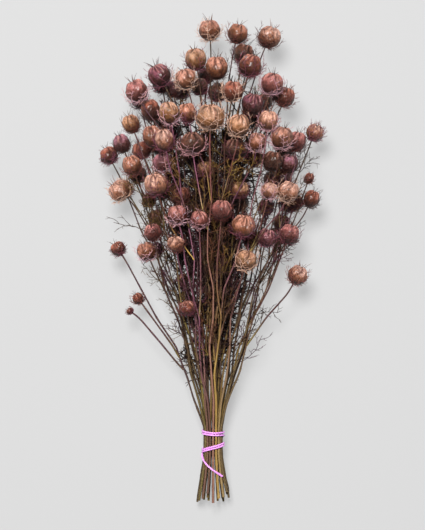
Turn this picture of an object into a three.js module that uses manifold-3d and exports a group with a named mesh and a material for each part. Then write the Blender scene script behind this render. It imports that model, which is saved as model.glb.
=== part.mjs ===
// A bunch of dried nigella (love-in-a-mist) lying on a table: stalks with seed pods, tied with elastic.
// Millimetres. +Y runs along the bunch from the cut ends to the pods, +Z is up and +X is to the right.
// Each stalk grew as one piece, so its stem, side branches and pods are one solid. The band is another.
import * as THREE from "three";
import { mergeVertices } from "three/addons/utils/BufferGeometryUtils.js";
import Module from "manifold-3d";

// Stems
const STEM_RADIUS_CUT = 1.5; // at the cut end
const STEM_RADIUS_TIP = 0.75; // under a pod
const STEM_THINNEST_AT = 330; // how far along a stem is down to its tip radius
const STEM_SIDES = 5;
const BRANCH_SIDES = 4;
const CUT_STAGGER = 13; // the cut ends differ by this much
const FORK_BELOW_POD = 92; // a side branch leaves its stem this far below its pod
const FORK_LOWEST = 128;

// The tied neck
const SLOT_PITCH = 3.2; // stem to stem under the band
const NECK_FROM = 56; // the neck is straight between these two
const NECK_TO = 86;
const FOOT_FLARE = 1.9; // how much wider the cut ends spread than the neck

// The lying bunch
const AXIS_AT_FOOT = 20; // height of the bunch's middle over the table at the cut ends
const AXIS_RISE = 62; // how much higher it gets towards the pods
const AXIS_REACH = 250; // over about this length
const FLATNESS = 0.56; // half height over half width, because the bunch settles
const OUTLINE = [ // half width of the bunch along its length
  [0, 19], [60, 12], [90, 12], [118, 16], [156, 27], [184, 42], [230, 66], [260, 84], [300, 100],
  [340, 116], [390, 120], [420, 114], [460, 100], [480, 86], [520, 72], [545, 40],
];

// Pods
const POD_SIDES = 6;
const POD_PROFILE = [[0, 0], [0.56, 0.1], [1, 0.46], [0.7, 0.86], [0, 1]]; // shares of radius and height
const POD_TALL = 1.06; // height over width, unless a pod says otherwise
const POD_LEAN = 0.42; // how far pods turn outwards at the rim of the bunch
const POD_SINK = 2; // how deep a stem runs into its pod

// How stems stray from an easy curve
const SWAY = 4; // sideways, and half as much up and down
const SWAY_LENGTH = 120; // from one crest to the next

// Clearances
const STEM_GAP = 0.4;
const POD_GAP = 0.8;
const PASSES = 900;
const LAST_PASSES = 300; // these only clear, without smoothing

// Where each stem has a point, along the bunch
const STATIONS = [28, NECK_FROM, NECK_TO, 116, 146, 176, 208, 240, 272, 304, 336, 368, 400, 432, 464, 492];

// One row a stalk, whose pods are [right, along, width, lift, height over width, extra lean to the right].
// Lift is 1 at the top of the lying bunch, 0 in its middle and -1 at the table.
// The rows set how many pods each stalk has. Stalks then swap pods until each holds neighbours.
const STALKS = [
  [[-4, 525, 23, 0.2, 1.05], [5, 458, 21, -0.1], [-2, 372, 17, -0.75]],
  [[27, 522, 21, 0, 1.1], [21, 456, 21.5, 0.7, 1.1], [38, 486, 19, -0.6]],
  [[62, 518, 24, 0.1, 1.05], [56, 447, 18, -0.2], [66, 460, 20, -0.8]],
  [[34, 499, 22, 0.1], [43, 443, 24, 0.35], [46, 434, 20, -0.75]],
  [[41, 485, 24.5, 0.65], [48, 401, 19, 0.55, 1.15], [46, 388, 20, -0.6]],
  [[-19, 492, 22.5, 0.5, 1.15], [-28, 433, 19, 0.5, 1.2], [-8, 478, 18, -0.65]],
  [[4, 482, 23.5, 0.65, 1.1], [-3, 427, 28.5, 0.95, 1]],
  [[-59, 475, 24, 0.4, 1.08, -0.2], [-48, 433, 21, 0.65, 1.22], [-56, 468, 19, -0.55]],
  [[-30, 470, 22, 0.65], [-23, 400, 25.5, 0.65, 0.98]],
  [[-15, 464, 18, -0.1], [-36, 462, 19, -0.75], [-26, 394, 21, -0.7]],
  [[64, 465, 24, 0.7, 1.03], [60, 424, 20, 0.8, 1.13]],
  [[79, 452, 21, 0.15, 1.1], [75, 406, 24, 0.6, 1.05], [80, 398, 20, -0.6]],
  [[-84, 458, 24, 0.4, 1.08, -0.15], [-90, 422, 18, 0.3, 1.2], [-82, 450, 18, -0.5]],
  [[-69, 438, 21, -0.1, 1.2], [-101, 401, 17.5, 0.1, 1.25]],
  [[-45, 462, 18, -0.4], [-54, 430, 21, -0.7], [-62, 402, 20, -0.75]],
  [[28, 418, 22, 0.95, 1.15], [25, 394, 24, 0.4, 0.95], [20, 410, 21, -0.8]],
  [[-67, 408, 19, 0.35, 1.35], [-53, 403, 19.5, 0.85, 1.28]],
  [[112, 413, 18.5, 0, 1.08], [92, 403, 20, 0.25, 1.15]],
  [[-115, 388, 19, 0, 1.05, -0.1], [-103, 349, 23, 0.35, 1, -0.7], [-98, 352, 18, -0.7]],
  [[-79, 394, 21, -0.1, 0.95], [-89, 376, 20.5, 0.55, 1.12], [-84, 368, 19, -0.75]],
  [[-55, 380, 21, 0.3, 1], [-62, 355, 24.5, 0.85, 1.07]],
  [[84, 379, 19.5, 0.15, 1.1], [106, 363, 10, 0, 1.25], [108, 340, 17, 0.1, 1.22]],
  [[65, 381, 21.5, 0.3, 1.08], [82, 347, 21.5, 0.75, 1.08], [84, 336, 19, -0.7]],
  [[77, 364, 20, -0.15, 1], [91, 336, 19, 0, 1], [66, 362, 19, -0.75]],
  [[-9, 373, 16.5, 0.1], [9, 327, 21, 0.75]],
  [[30, 350, 18, 0.1], [33, 310, 25, 0.85, 0.97], [30, 338, 20, -0.75]],
  [[62, 348, 17.5, 0.65, 1.08], [59, 297, 20.5, 0.3, 1], [42, 296, 18, -0.7]],
  [[-35, 344, 17, 0.2], [-15, 317, 18.5, 0.6], [4, 318, 19, -0.75]],
  [[-39, 322, 20.5, 0.6], [-41, 290, 17.5, 0.7, 1], [-42, 312, 18, -0.75]],
  [[-71, 339, 15, -0.1], [-66, 303, 18.5, 0.5], [-83, 230, 12.5, 0.3, 1.05, -0.3]],
  [[-63, 320, 15, -0.1, 1.2], [-73, 282, 20.5, 0.4], [-105, 285, 15.5, 0.1, 1.05, -0.1]],
  [[59, 331, 17, -0.2], [36, 272, 22, 0.9, 1.08], [30, 268, 17, -0.6]],
  [[76, 314, 17.5, -0.1], [84, 301, 21, 0.45, 1.1], [93, 256, 20.5, 0.5, 1.1]],
  [[-58, 350, 19, -0.7], [-34, 251, 13, 0], [-29, 220, 17, 0.75, 0.98]],
  [[-6, 432, 20, -0.75], [-8, 356, 19, -0.3]],
  [[-64, 284, 17, -0.65], [-92, 216, 7.5, 0.1, 1, -0.9]],
  [[72, 300, 18, -0.65], [8, 288, 14, -0.5]],
];

// Band
const BAND_RADIUS = 0.85;
const BAND_SIDES = 6;
const BAND_STEP = 20; // degrees between two rings of the band's tube
const BAND_LIFT = 1.2; // from the stems' surface to the middle of the band
const BAND_ROUTE = [ // [degrees round the neck from +X towards +Z, how far along], from the loose end
  [50, 32], [100, 41], [140, 49], [180, 56], [270, 60.5], [360, 66.5], [450, 63], [540, 59],
  [630, 62.8], [720, 69], [810, 65.4], [900, 61.5], [990, 70], [1070, 77],
  [1170, 78.2], [1260, 80], [1350, 80.5], [1440, 81.2], [1530, 80.6], [1620, 82.8], [1710, 84],
];

// Colours
const DRY_STEM = { color: 0x7a5a3c, roughness: 0.75 };
const BAND_PINK = { color: 0xe58ae8, roughness: 0.5 };

const wasm = await Module();
wasm.setup();

const mix = (a, b, t) => a + (b - a) * t;
const clamp = THREE.MathUtils.clamp;

// A repeatable number from 0 to 1 for each whole number.
function chance(n) {
  const s = Math.sin(n * 127.1 + 311.7) * 43758.5453;
  return s - Math.floor(s);
}

function outlineAt(y) {
  const next = Math.max(1, OUTLINE.findIndex(([at]) => at >= y));
  const [y0, w0] = OUTLINE[next - 1];
  const [y1, w1] = OUTLINE[next];
  return mix(w0, w1, clamp((y - y0) / (y1 - y0), 0, 1));
}

const axisHeight = (y) => AXIS_AT_FOOT + AXIS_RISE * (1 - Math.exp(-y / AXIS_REACH));
const stemRadius = (y) => mix(STEM_RADIUS_CUT, STEM_RADIUS_TIP, clamp(y / STEM_THINNEST_AT, 0, 1));

// Places a pod in the lying bunch, turned a little outwards.
function makePod([x, y, width, lift, tall = POD_TALL, lean = 0], seed) {
  const half = outlineAt(y) * 1.04;
  const round = Math.sqrt(Math.max(0.08, 1 - (x / half) ** 2));
  const z = axisHeight(y) + lift * half * FLATNESS * round;
  const wander = 0.16;
  const axis = new THREE.Vector3(
    (x / half) * POD_LEAN + lean + wander * (chance(seed) - 0.5),
    1,
    lift * POD_LEAN + wander * (chance(seed + 0.5) - 0.5),
  ).normalize();
  return { at: new THREE.Vector3(x, y, z), axis, radius: width / 2, tall, lift, seed };
}

const foot = (pod) => pod.at.clone().addScaledVector(pod.axis, -pod.radius * pod.tall);

// Moves pods up or down, and a little sideways, until none touches another or goes into the table.
function settlePods(pods) {
  for (let pass = 0; pass < 400; pass++) {
    pods.forEach((a, i) => {
      for (const b of pods.slice(i + 1)) {
        const apart = b.at.clone().sub(a.at);
        const tall = (p) => Math.max(1, p.tall) * p.radius;
        const stretch = (tall(a) + tall(b)) / (a.radius + b.radius);
        const need = a.radius + b.radius + POD_GAP;
        const reach = Math.hypot(apart.x, apart.y / stretch, apart.z);
        if (reach >= need) continue;
        const up = b.lift >= a.lift ? 1 : -1;
        const push = (need - reach) * 0.5;
        const side = 0.25 * Math.sign(apart.x || 1);
        a.at.z -= up * push;
        b.at.z += up * push;
        a.at.x -= side * push;
        b.at.x += side * push;
      }
    });
    for (const p of pods) p.at.z = Math.max(p.at.z, p.radius * Math.max(1, p.axis.z * p.tall + 0.85));
  }
}

// How far apart a stalk's pods are. Apart across the bunch counts for more than apart along it.
function spread(pods) {
  const along = 0.15;
  let sum = 0;
  pods.forEach((a, i) => {
    for (const b of pods.slice(i + 1)) {
      sum += (a.at.x - b.at.x) ** 2 + (a.at.z - b.at.z) ** 2 + along * (a.at.y - b.at.y) ** 2;
    }
  });
  return sum;
}

function trySwap(a, i, b, k) {
  const before = spread(a.pods) + spread(b.pods);
  [a.pods[i], b.pods[k]] = [b.pods[k], a.pods[i]];
  if (spread(a.pods) + spread(b.pods) >= before) [a.pods[i], b.pods[k]] = [b.pods[k], a.pods[i]];
}

// Swaps pods between stalks while that brings them nearer their own, then sorts each stalk's from the top.
function gatherNeighbours(stalks) {
  for (let pass = 0; pass < 30; pass++) {
    stalks.forEach((a, n) => {
      for (const b of stalks.slice(n + 1)) {
        a.pods.forEach((_, i) => b.pods.forEach((_, k) => trySwap(a, i, b, k)));
      }
    });
  }
  for (const stalk of stalks) stalk.pods.sort((a, b) => b.at.y - a.at.y);
}

// The places of stems in the neck: one in the middle and rings of 6, 12 and 18 around it.
function neckSlots() {
  const slots = [new THREE.Vector2(0, 0)];
  for (let ring = 1; ring <= 3; ring++) {
    for (let k = 0; k < 6 * ring; k++) {
      const turn = ((k + 0.5 * (ring % 2)) / (6 * ring)) * 2 * Math.PI;
      slots.push(new THREE.Vector2(Math.cos(turn), Math.sin(turn)).multiplyScalar(ring * SLOT_PITCH));
    }
  }
  return slots;
}

// Gives every stalk the neck slot on its side of the bunch, by swapping while that shortens the whole.
function shareSlots(stalks, slots) {
  const rim = 3 * SLOT_PITCH;
  const cost = (stalk, slot) => stalk.side.distanceToSquared(slot);
  stalks.forEach((stalk, i) => {
    stalk.side = new THREE.Vector2();
    for (const pod of stalk.pods) stalk.side.add({ x: pod.at.x / outlineAt(pod.at.y), y: pod.lift });
    stalk.side.multiplyScalar(rim / stalk.pods.length);
    stalk.slot = slots[i];
  });
  for (let pass = 0; pass < 12; pass++) {
    for (const a of stalks) {
      for (const b of stalks) {
        const shorter = cost(a, b.slot) + cost(b, a.slot) < cost(a, a.slot) + cost(b, b.slot);
        if (shorter) [a.slot, b.slot] = [b.slot, a.slot];
      }
    }
  }
}

// A strand is a run of stem: points from its start to inside its pod, of which the pinned ones don't move.
// Rest holds the places the points had before they made way for others.
function leadingStrand(stalk) {
  const cut = CUT_STAGGER * chance(stalk.number * 3.7);
  const neck = (y, wide) => new THREE.Vector3(stalk.slot.x * wide, y, axisHeight(y) + stalk.slot.y * wide);
  const halfway = mix(FOOT_FLARE, 1, 0.5);
  const points = [neck(cut, FOOT_FLARE), neck(STATIONS[0], halfway), neck(NECK_FROM, 1), neck(NECK_TO, 1)];
  const ahead = points[3].clone().sub(points[2]).normalize();
  ahead.lerp(foot(stalk.pods[0]).sub(points[3]).normalize(), 0.55);
  return makeStrand(stalk, stalk.pods[0], points, ahead, STEM_SIDES, 4);
}

function sideStrand(stalk, pod, parent) {
  const wanted = Math.max(FORK_LOWEST, Math.min(foot(pod).y, parent.rest.at(-2).y) - FORK_BELOW_POD);
  const fork = parent.rest.findIndex((p) => p.y >= wanted);
  const start = parent.rest[fork];
  const toPod = foot(pod).sub(start).normalize();
  const ahead = parent.rest[fork + 1].clone().sub(start).normalize().add(toPod).normalize();
  return { ...makeStrand(stalk, pod, [start.clone()], ahead, BRANCH_SIDES, 1), parent, fork };
}

// Carries a strand on from its last given point, heading ahead, in one curve that comes up under its pod.
function makeStrand(stalk, pod, points, ahead, sides, pinned) {
  const end = foot(pod);
  const from = points.at(-1);
  const reach = from.distanceTo(end);
  const leave = from.clone().addScaledVector(ahead, reach * 0.25);
  const arrive = end.clone().addScaledVector(pod.axis, -reach * 0.3);
  const curve = new THREE.CubicBezierCurve3(from, leave, arrive, end);
  const neckward = curve.getPointAt(1 - Math.min(0.3, (0.6 * pod.radius + 6) / curve.getLength()));
  for (const y of STATIONS.filter((s) => s > from.y + 12 && s < neckward.y - 12)) {
    const stray = SWAY * Math.sin(Math.PI * clamp((y - from.y) / (end.y - from.y), 0, 1));
    points.push(pointAtHeight(curve, y).addScaledVector(swayAt(y, pod.seed), stray));
  }
  points.push(neckward, end);
  return { stalk, pod, sides, pinned, points, rest: points.map((p) => p.clone()) };
}

// Which way a stem strays at a place along the bunch, in waves of its own.
function swayAt(y, seed) {
  const wave = (n) => Math.sin(2 * Math.PI * (y / SWAY_LENGTH + chance(seed + n)));
  return new THREE.Vector3(wave(0.2), 0, 0.5 * wave(0.7));
}

function pointAtHeight(curve, y) {
  let low = 0;
  let high = 1;
  for (let step = 0; step < 24; step++) {
    const t = (low + high) / 2;
    if (curve.getPoint(t).y < y) low = t;
    else high = t;
  }
  return curve.getPoint(low);
}

const isFree = (strand, k) => k >= strand.pinned && k < strand.points.length - 1;

// Nudges a stretch of stem sideways. The nearer end moves most, and pinned points not at all.
function nudge(strand, k, t, x, z) {
  [[k, 1 - t], [k + 1, t]].forEach(([i, share]) => {
    if (!isFree(strand, i)) return;
    const give = share / Math.max(0.5, share * share + (1 - share) * (1 - share));
    strand.points[i].x += x * give;
    strand.points[i].z += z * give;
  });
}

const A = new THREE.Line3();
const B = new THREE.Line3();

// The nearest approach of stretch A and stretch B: shares along each, and the way from A to B.
function nearest(a, b) {
  const u = a.delta(new THREE.Vector3());
  const v = b.delta(new THREE.Vector3());
  const w = a.start.clone().sub(b.start);
  const uu = u.dot(u);
  const vv = v.dot(v);
  const uv = u.dot(v);
  const det = uu * vv - uv * uv;
  let s = det > 1e-6 ? clamp((uv * v.dot(w) - vv * u.dot(w)) / det, 0, 1) : 0.5;
  const t = clamp((v.dot(w) + s * uv) / vv, 0, 1);
  s = clamp((t * uv - u.dot(w)) / uu, 0, 1);
  return { s, t, way: b.at(t, new THREE.Vector3()).sub(a.at(s, new THREE.Vector3())) };
}

function clearStems(one, other) {
  for (let i = 0; i < one.points.length - 1; i++) {
    A.set(one.points[i], one.points[i + 1]);
    for (let k = 0; k < other.points.length - 1; k++) {
      B.set(other.points[k], other.points[k + 1]);
      if (B.start.y > A.end.y + 4 || A.start.y > B.end.y + 4) continue;
      const need = stemRadius(A.start.y) + stemRadius(B.start.y) + STEM_GAP;
      const { s, t, way } = nearest(A, B);
      const gap = way.length();
      if (gap >= need) continue;
      const flat = Math.hypot(way.x, way.z);
      const [x, z] = flat > 1e-3 ? [way.x / flat, way.z / flat] : [0, 1];
      const push = (need - gap) * 0.55;
      nudge(one, i, s, -x * push, -z * push);
      nudge(other, k, t, x * push, z * push);
    }
  }
}

function clearPod(strand, pod) {
  if (strand.pod === pod) return;
  for (let k = 0; k < strand.points.length - 1; k++) {
    A.set(strand.points[k], strand.points[k + 1]);
    if (A.start.y > pod.at.y + 30 || A.end.y < pod.at.y - 30) continue;
    const t = clamp(A.closestPointToPointParameter(pod.at, true), 0, 1);
    const away = A.at(t, new THREE.Vector3()).sub(pod.at);
    const along = away.dot(pod.axis);
    const acrossSq = Math.max(0, away.lengthSq() - along ** 2);
    const reach = Math.hypot(Math.sqrt(acrossSq), along / Math.max(1, pod.tall));
    const need = pod.radius + stemRadius(pod.at.y) + POD_GAP;
    if (reach >= need) continue;
    const flat = Math.hypot(away.x, away.z);
    const [x, z] = flat > 1e-3 ? [away.x / flat, away.z / flat] : [0, -1];
    nudge(strand, k, t, x * (need - reach), z * (need - reach));
  }
}

// Evens out how far neighbouring points have made way, and draws them back a little.
function smooth(strand, amount) {
  const { points, rest, pinned } = strand;
  for (let k = pinned; k < points.length - 1; k++) {
    const t = (rest[k].y - rest[k - 1].y) / (rest[k + 1].y - rest[k - 1].y);
    for (const way of ["x", "z"]) {
      const moved = (i) => points[i][way] - rest[i][way];
      const even = 0.96 * mix(moved(k - 1), moved(k + 1), t);
      points[k][way] = rest[k][way] + mix(moved(k), even, amount);
    }
  }
}

// Lets the stems find their way past each other, past the pods and over the table.
function settleStems(strands, pods) {
  for (let pass = 0; pass < PASSES + LAST_PASSES; pass++) {
    const easing = 0.35 * Math.max(0, 1 - pass / PASSES);
    for (const s of strands) {
      if (s.parent) s.points[0].copy(s.parent.points[s.fork]);
      smooth(s, easing);
    }
    strands.forEach((one, i) => {
      for (const other of strands.slice(i + 1)) if (one.stalk !== other.stalk) clearStems(one, other);
      for (const pod of pods) clearPod(one, pod);
      one.points.forEach((p, k) => {
        if (isFree(one, k)) p.z = Math.max(p.z, stemRadius(p.y) + 0.5);
      });
    });
  }
}

// A geometry as a manifold-3d solid.
function solidOf(geometry) {
  const plain = geometry.clone();
  plain.deleteAttribute("normal");
  plain.deleteAttribute("uv");
  const merged = mergeVertices(plain, 1e-4);
  const vertProperties = merged.attributes.position.array;
  const triVerts = new Uint32Array(merged.index.array);
  return new wasm.Manifold(new wasm.Mesh({ numProp: 3, vertProperties, triVerts }));
}

// A manifold-3d solid as a geometry.
function geometryOf(solid) {
  const mesh = solid.getMesh();
  const geometry = new THREE.BufferGeometry();
  geometry.setAttribute("position", new THREE.BufferAttribute(new Float32Array(mesh.vertProperties), 3));
  geometry.setIndex(new THREE.BufferAttribute(new Uint32Array(mesh.triVerts), 1));
  return geometry;
}

// A capped tube: a cylinder with one ring for each point, carried onto the points.
function tube(points, radiusAt, sides) {
  const rings = points.length - 1;
  const geometry = new THREE.CylinderGeometry(1, 1, rings, sides, rings);
  const frames = points.map((_, k) => {
    const before = points[Math.max(0, k - 1)];
    const after = points[Math.min(rings, k + 1)];
    return after.clone().sub(before).normalize();
  });
  let across = new THREE.Vector3(0, 0, 1).cross(frames[0]).normalize();
  const sideways = frames.map((ahead) => {
    across = across.clone().addScaledVector(ahead, -across.dot(ahead)).normalize();
    return across;
  });
  const place = geometry.attributes.position;
  for (let i = 0; i < place.count; i++) {
    const k = Math.round(place.getY(i) + rings / 2);
    const other = frames[k].clone().cross(sideways[k]);
    const r = radiusAt(points[k]);
    const p = points[k].clone();
    p.addScaledVector(sideways[k], place.getX(i) * r);
    p.addScaledVector(other, -place.getZ(i) * r);
    place.setXYZ(i, p.x, p.y, p.z);
  }
  return geometry;
}

function podGeometry(pod) {
  const height = 2 * pod.radius * pod.tall;
  const profile = POD_PROFILE.map(([r, h]) => new THREE.Vector2(r * pod.radius, h * height));
  const geometry = new THREE.LatheGeometry(profile, POD_SIDES);
  geometry.applyQuaternion(new THREE.Quaternion().setFromUnitVectors(new THREE.Vector3(0, 1, 0), pod.axis));
  const base = foot(pod);
  return geometry.translate(base.x, base.y, base.z);
}

function stalkMesh(stalk, strands) {
  const solids = stalk.pods.map((pod) => solidOf(podGeometry(pod)));
  for (const strand of strands) {
    const points = strand.points.map((p) => p.clone());
    points.at(-1).addScaledVector(strand.pod.axis, POD_SINK);
    solids.push(solidOf(tube(points, (p) => stemRadius(p.y), strand.sides)));
  }
  const whole = solids.reduce((sum, next) => sum.add(next));
  const mesh = new THREE.Mesh(geometryOf(whole), new THREE.MeshStandardMaterial(DRY_STEM));
  mesh.name = "stalk_" + String(stalk.number).padStart(2, "0");
  return mesh;
}

// The band's middle line, wound round the neck just clear of the stems.
function bandMesh() {
  const places = BAND_ROUTE.map(([turn, y]) => new THREE.Vector3(turn, y, 0));
  const route = new THREE.CatmullRomCurve3(places, false, "centripetal");
  const count = Math.round((BAND_ROUTE.at(-1)[0] - BAND_ROUTE[0][0]) / BAND_STEP);
  const points = route.getPoints(count).map(({ x: turn, y }) => {
    const flare = y < NECK_FROM ? mix(1, FOOT_FLARE, (NECK_FROM - y) / NECK_FROM) : 1;
    const reach = 3 * SLOT_PITCH * flare + stemRadius(y) + BAND_LIFT;
    const angle = THREE.MathUtils.degToRad(turn);
    return new THREE.Vector3(Math.cos(angle) * reach, y, axisHeight(y) + Math.sin(angle) * reach);
  });
  const material = new THREE.MeshStandardMaterial(BAND_PINK);
  const mesh = new THREE.Mesh(tube(points, () => BAND_RADIUS, BAND_SIDES), material);
  mesh.name = "tie_band";
  return mesh;
}

// Lowers the far end, by a slight slant, until the bunch rests on its cut ends and its lowest pod.
function restOnTable(meshes) {
  const corners = meshes.flatMap(({ geometry }) => {
    const at = geometry.attributes.position;
    return Array.from({ length: at.count }, (_, i) => ({ at, i, y: at.getY(i), z: at.getZ(i) }));
  });
  const foot = corners.filter(({ y }) => y < NECK_FROM).reduce((a, b) => (b.z < a.z ? b : a));
  const heads = corners.filter(({ y }) => y > NECK_FROM);
  const slant = Math.min(...heads.map(({ y, z }) => (z - foot.z) / (y - foot.y)));
  for (const { at, i, y, z } of corners) at.setZ(i, z - slant * (y - foot.y));
}

let seed = 0;
const stalks = STALKS.map((rows, i) => ({ number: i + 1, pods: rows.map((row) => makePod(row, ++seed)) }));
const pods = stalks.flatMap((stalk) => stalk.pods);
settlePods(pods);
gatherNeighbours(stalks);
shareSlots(stalks, neckSlots());
const strands = stalks.flatMap((stalk) => {
  const leading = leadingStrand(stalk);
  return [leading, ...stalk.pods.slice(1).map((pod) => sideStrand(stalk, pod, leading))];
});
settleStems(strands, pods);

const bunch = new THREE.Group();
for (const stalk of stalks) bunch.add(stalkMesh(stalk, strands.filter((s) => s.stalk === stalk)));
bunch.add(bandMesh());
restOnTable(bunch.children);

// The origin is under the middle of the bunch, on the table.
const box = new THREE.Box3().setFromObject(bunch);
const middle = box.getCenter(new THREE.Vector3());
bunch.position.set(-middle.x, -middle.y, -box.min.z);

export default bunch;
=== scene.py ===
"""A bunch of dried nigella lying on a table: papery pods in their thread-like bracts, ribbed stems with fine
leaves, and a pink elastic band. Everything is in metres, and +Y runs from the cut ends to the pods."""

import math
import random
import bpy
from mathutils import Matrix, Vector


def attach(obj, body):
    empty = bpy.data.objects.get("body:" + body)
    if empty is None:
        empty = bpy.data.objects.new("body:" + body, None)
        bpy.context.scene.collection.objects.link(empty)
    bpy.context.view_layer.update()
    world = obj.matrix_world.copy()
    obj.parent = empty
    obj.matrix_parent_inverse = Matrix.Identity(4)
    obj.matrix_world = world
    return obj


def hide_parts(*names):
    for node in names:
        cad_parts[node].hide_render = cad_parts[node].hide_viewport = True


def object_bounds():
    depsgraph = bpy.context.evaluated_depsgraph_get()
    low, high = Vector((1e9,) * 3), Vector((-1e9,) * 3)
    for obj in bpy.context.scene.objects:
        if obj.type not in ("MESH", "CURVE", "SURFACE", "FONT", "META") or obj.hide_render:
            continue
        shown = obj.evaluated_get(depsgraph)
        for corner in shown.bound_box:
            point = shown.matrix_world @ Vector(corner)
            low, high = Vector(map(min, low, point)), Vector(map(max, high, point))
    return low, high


bl_info = {
    "name": "Dried Nigella Bunch",
    "version": (1, 0, 0),
    "blender": (4, 5, 0),
    "location": "3D View > Sidebar > Nigella",
    "description": "Builds a tied bunch of dried nigella stalks with seed pods",
    "category": "Object",
}

from dataclasses import dataclass

import bpy
import numpy as np
from bpy.props import FloatProperty, FloatVectorProperty, IntProperty, PointerProperty

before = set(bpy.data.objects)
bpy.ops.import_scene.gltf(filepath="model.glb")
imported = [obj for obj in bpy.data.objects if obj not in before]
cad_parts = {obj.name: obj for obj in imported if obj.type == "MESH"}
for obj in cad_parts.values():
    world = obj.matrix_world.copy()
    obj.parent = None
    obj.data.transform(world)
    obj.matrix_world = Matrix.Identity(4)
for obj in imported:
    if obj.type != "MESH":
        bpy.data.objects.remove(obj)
CAD_BOX = [list(corner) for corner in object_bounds()]

MM = 0.001
BAND_NODE = "tie_band"
STALK_NODES = sorted(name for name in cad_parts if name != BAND_NODE)
BROAD_FACE = 1.85 * MM  # in the frame's meshes a pod's faces are higher than this, and a stem's aren't
BAND_RING_EDGE = 1.8 * MM  # and there the edges round the band's strand are shorter
USUAL_RADIUS = 11 * MM  # a pod's
POD_RINGS = 52
POD_SIDES = 108
BAND_STEPS = 420
BAND_SIDES = 12
TABLE_GAP = 0.2 * MM  # the pieces stay this far above the table
THICKEST_THREAD = 0.9 * MM  # its radius
REACH_OUT = 9 * MM  # threads reach no further out of the frame's box
BARE_BELOW_POD = 20 * MM  # no leaves on this much of the stem
KNOT_SPACING = 38 * MM  # between the swellings of a stem
GRAIN_LENGTH = 2 * MM  # one step of the stems' grain
LEAFY_AT = [115 * MM, 215 * MM, 390 * MM, 440 * MM]  # how leafy the stems are, this far from their cut ends
LEAFINESS = [0, 1, 1, 0.12]
WIDTH_AT = [90 * MM, 200 * MM, 300 * MM, 400 * MM]  # the bunch's half width, this far from the cut ends
HALF_WIDTHS = [12 * MM, 40 * MM, 75 * MM, 100 * MM]
CORE_AT = [0.4, 0.65]  # the dark core's leaves thin out between these shares of the half width
CORE_LEAFINESS = [1, 0]
DEEP = 58 * MM  # stalks whose pods lie lower than this make up the dark core, whose near-black leaves are painted shade
LIT_PALE_ABOVE = 70 * MM  # only pods that lie higher than this may have pale bracts: partly their own colour, partly painted light on the lit top of the bunch
PALE_SHARE = 0.5  # the share of those that do
PAINTED_LIGHT_AT = [20 * MM, 80 * MM, 115 * MM]  # painted shade and light on stems and leaves, by their pod's height: deep ones darkened, top ones lightened
PAINTED_LIGHT_LEVELS = [0.14, 0.36, 1.2]
CROWN_SHADES = 0.12  # how much pods of one finish differ
KEY_PLACE = (-0.3, 0.8, 3.0)
KEY_SIZE = 0.8
OVERHEAD_PLACE = (0.1, 0.2, 3.6)
OVERHEAD_SIZE = 2.2
WALLS_UP_TO = 0.15  # the walls' light fades into the ceiling's between these, 1 being straight up
CEILING_FROM = 0.5
AIM = (1.1 * MM, -1.4 * MM)  # the camera's place from the middle of the frame's box

# The finishes of the pods, stalk by stalk and from each stalk's furthest pod down.
POD_FINISHES = (
    "umber umber umber", "umber plum umber", "umber russet umber", "russet plum copper",
    "copper umber copper", "copper umber umber", "golden umber", "golden peach peach", "umber russet",
    "umber umber umber", "umber golden", "peach rose russet", "umber russet russet", "umber russet",
    "umber umber umber", "russet golden umber", "plum rose", "peach copper", "golden copper copper",
    "mauve russet peach", "mauve mauve", "peach russet russet", "umber peach peach", "rose mauve plum",
    "rose rose", "rose copper golden", "plum umber umber", "golden copper copper", "golden umber russet",
    "russet russet russet", "umber umber umber", "mauve umber umber", "rose mauve peach",
    "peach umber russet", "umber umber", "rose copper", "umber umber",
)


def colour(code):
    """A web colour such as "#8A5242" as linear red, green and blue."""
    shares = [int(code[i : i + 2], 16) / 255 for i in (1, 3, 5)]
    return tuple(s / 12.92 if s <= 0.04045 else ((s + 0.055) / 1.055) ** 2.4 for s in shares)


def palette(codes):
    return [colour(code) for code in codes.split()]


# Pod finishes: the body's colour, then the crown's, which is paler partly as the pod's own colour and partly
# as painted highlight where the key light falls on the crowns.
FINISHES = {
    "copper": palette("#6A3E24 #C48872"),
    "golden": palette("#7C5230 #CC9C7C"),
    "peach": palette("#8A5A42 #DEAC98"),
    "rose": palette("#66342C #BC7874"),
    "mauve": palette("#5E3634 #AC7282"),
    "plum": palette("#44201C #864C5E"),
    "russet": palette("#562A18 #9E5A46"),
    "umber": palette("#3E2414 #643C2C"),
}
STEM_TONES = palette("#BCA854 #AE9A56 #A68646 #86704A #6C4C40 #96843C")
NECK_TONES = palette("#5E3434 #6E404C #824C66 #4C2C26")
BRACT_TONES = palette("#54302E #643C46 #764A58 #3E2420 #6E4440")
# Pale bract colours, given only to the top pods: partly the bracts' own colour, partly painted light where
# they catch the key light.
PALE_BRACT_TONES = palette("#C8AA98 #B8929A #C8A4AC")
LEAF_TONES = palette("#7E6836 #5A3E2C #6A5030 #784C60 #46302A #927A44")
PITH = colour("#8A7448")
# Near-black leaf colours for the stalks of the core: painted shade, not the leaves' own colour.
CORE_PAINTED_SHADE_TONES = palette("#1E120E #18100F #22170D #221316")


# ---- Reading the stalks from the frame ----


@dataclass
class Pod:
    """A pod's place: where its stem enters, which way it points, and its size."""

    base: np.ndarray
    axis: np.ndarray
    radius: float
    height: float
    finish: str
    number: int

    def placed(self, local):
        """Where points lie that are measured from the pod's base, along its axis."""
        across = unit(np.cross(self.axis, [0.1, 0.3, 0.95]))
        return self.base + local @ np.stack([across, np.cross(self.axis, across), self.axis])


@dataclass
class Run:
    """A stretch of stem as points from low to high, each with a radius. It carries a pod at its upper end."""

    points: np.ndarray
    radii: np.ndarray
    pod: Pod
    is_main: bool


@dataclass
class Stalk:
    name: str
    runs: list

    @property
    def pods(self):
        return [run.pod for run in self.runs]


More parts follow.
